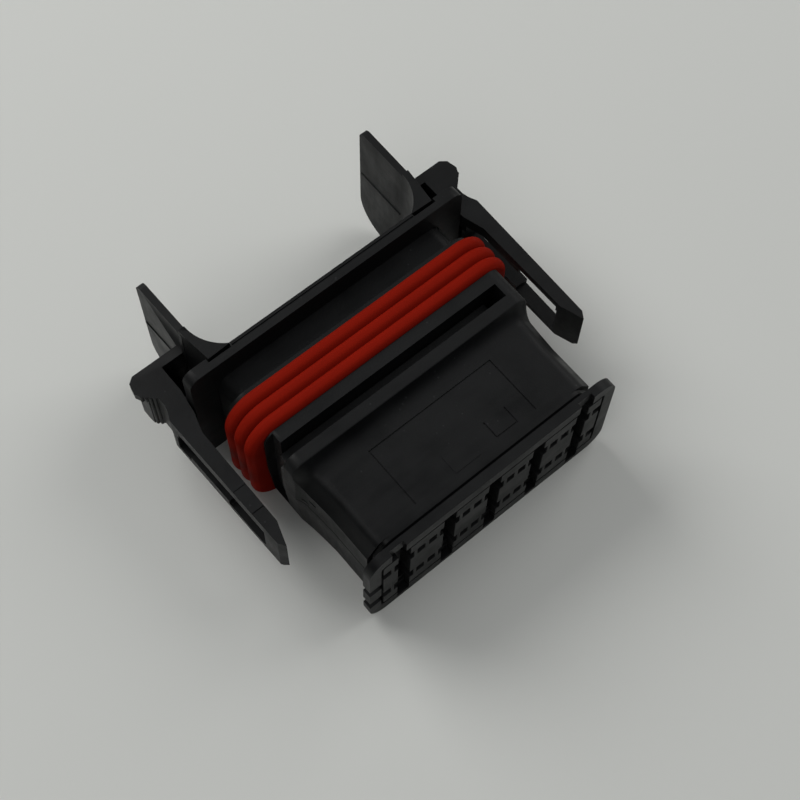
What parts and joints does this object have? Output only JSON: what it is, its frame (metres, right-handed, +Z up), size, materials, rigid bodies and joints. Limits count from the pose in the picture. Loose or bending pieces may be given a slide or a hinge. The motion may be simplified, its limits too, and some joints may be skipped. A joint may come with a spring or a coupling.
{
  "type": "sealed automotive connector",
  "caption": "Sealed plug housing for blade contacts, with a ribbed ring seal, a tall rear frame and two side squeeze latches.",
  "frame": {"origin": "centre of the mating face", "axes": "+Y from the mating face to the wire side, +Z up through the top of the body, +X to the right latch"},
  "size_m": [0.0482, 0.0433, 0.0194],
  "materials": {
    "black_plastic": "satin",
    "grey_plastic": "satin",
    "seal_rubber": "satin",
    "wire_seal_rubber": "matte",
    "tin_plate": "satin"
  },
  "bodies": {
    "plug_body": {"housing": "black_plastic", "front_grid": "grey_plastic", "ring_seal": "seal_rubber", "rear_frame": "black_plastic", "wire_seal": "wire_seal_rubber", "seal_cover": "black_plastic", "terminal_1": "tin_plate", "terminal_2": "tin_plate", "terminal_3": "tin_plate", "terminal_4": "tin_plate", "terminal_5": "tin_plate", "terminal_6": "tin_plate", "terminal_7": "tin_plate", "terminal_8": "tin_plate", "terminal_9": "tin_plate", "terminal_10": "tin_plate"},
    "lock_plate": {"secondary_lock": "grey_plastic"},
    "left_latch": {"latch_left": "black_plastic"},
    "right_latch": {"latch_right": "black_plastic"}
  },
  "joints": [
    {"name": "lock_slide", "type": "slide", "parent": "plug_body", "child": "lock_plate", "axis": [1, 0, 0], "range_m": [0, 0.0015]},
    {"name": "left_latch_hinge", "type": "hinge", "parent": "plug_body", "child": "left_latch", "pos_m": [-0.0208, 0.0318, 0.0004], "axis": [0, 0, -1], "range_deg": [0, 3], "stiffness_Nm_per_rad": 0.004},
    {"name": "right_latch_hinge", "type": "hinge", "parent": "plug_body", "child": "right_latch", "pos_m": [0.0208, 0.0318, 0.0004], "axis": [0, 0, 1], "range_deg": [0, 3], "stiffness_Nm_per_rad": 0.004}
  ]
}
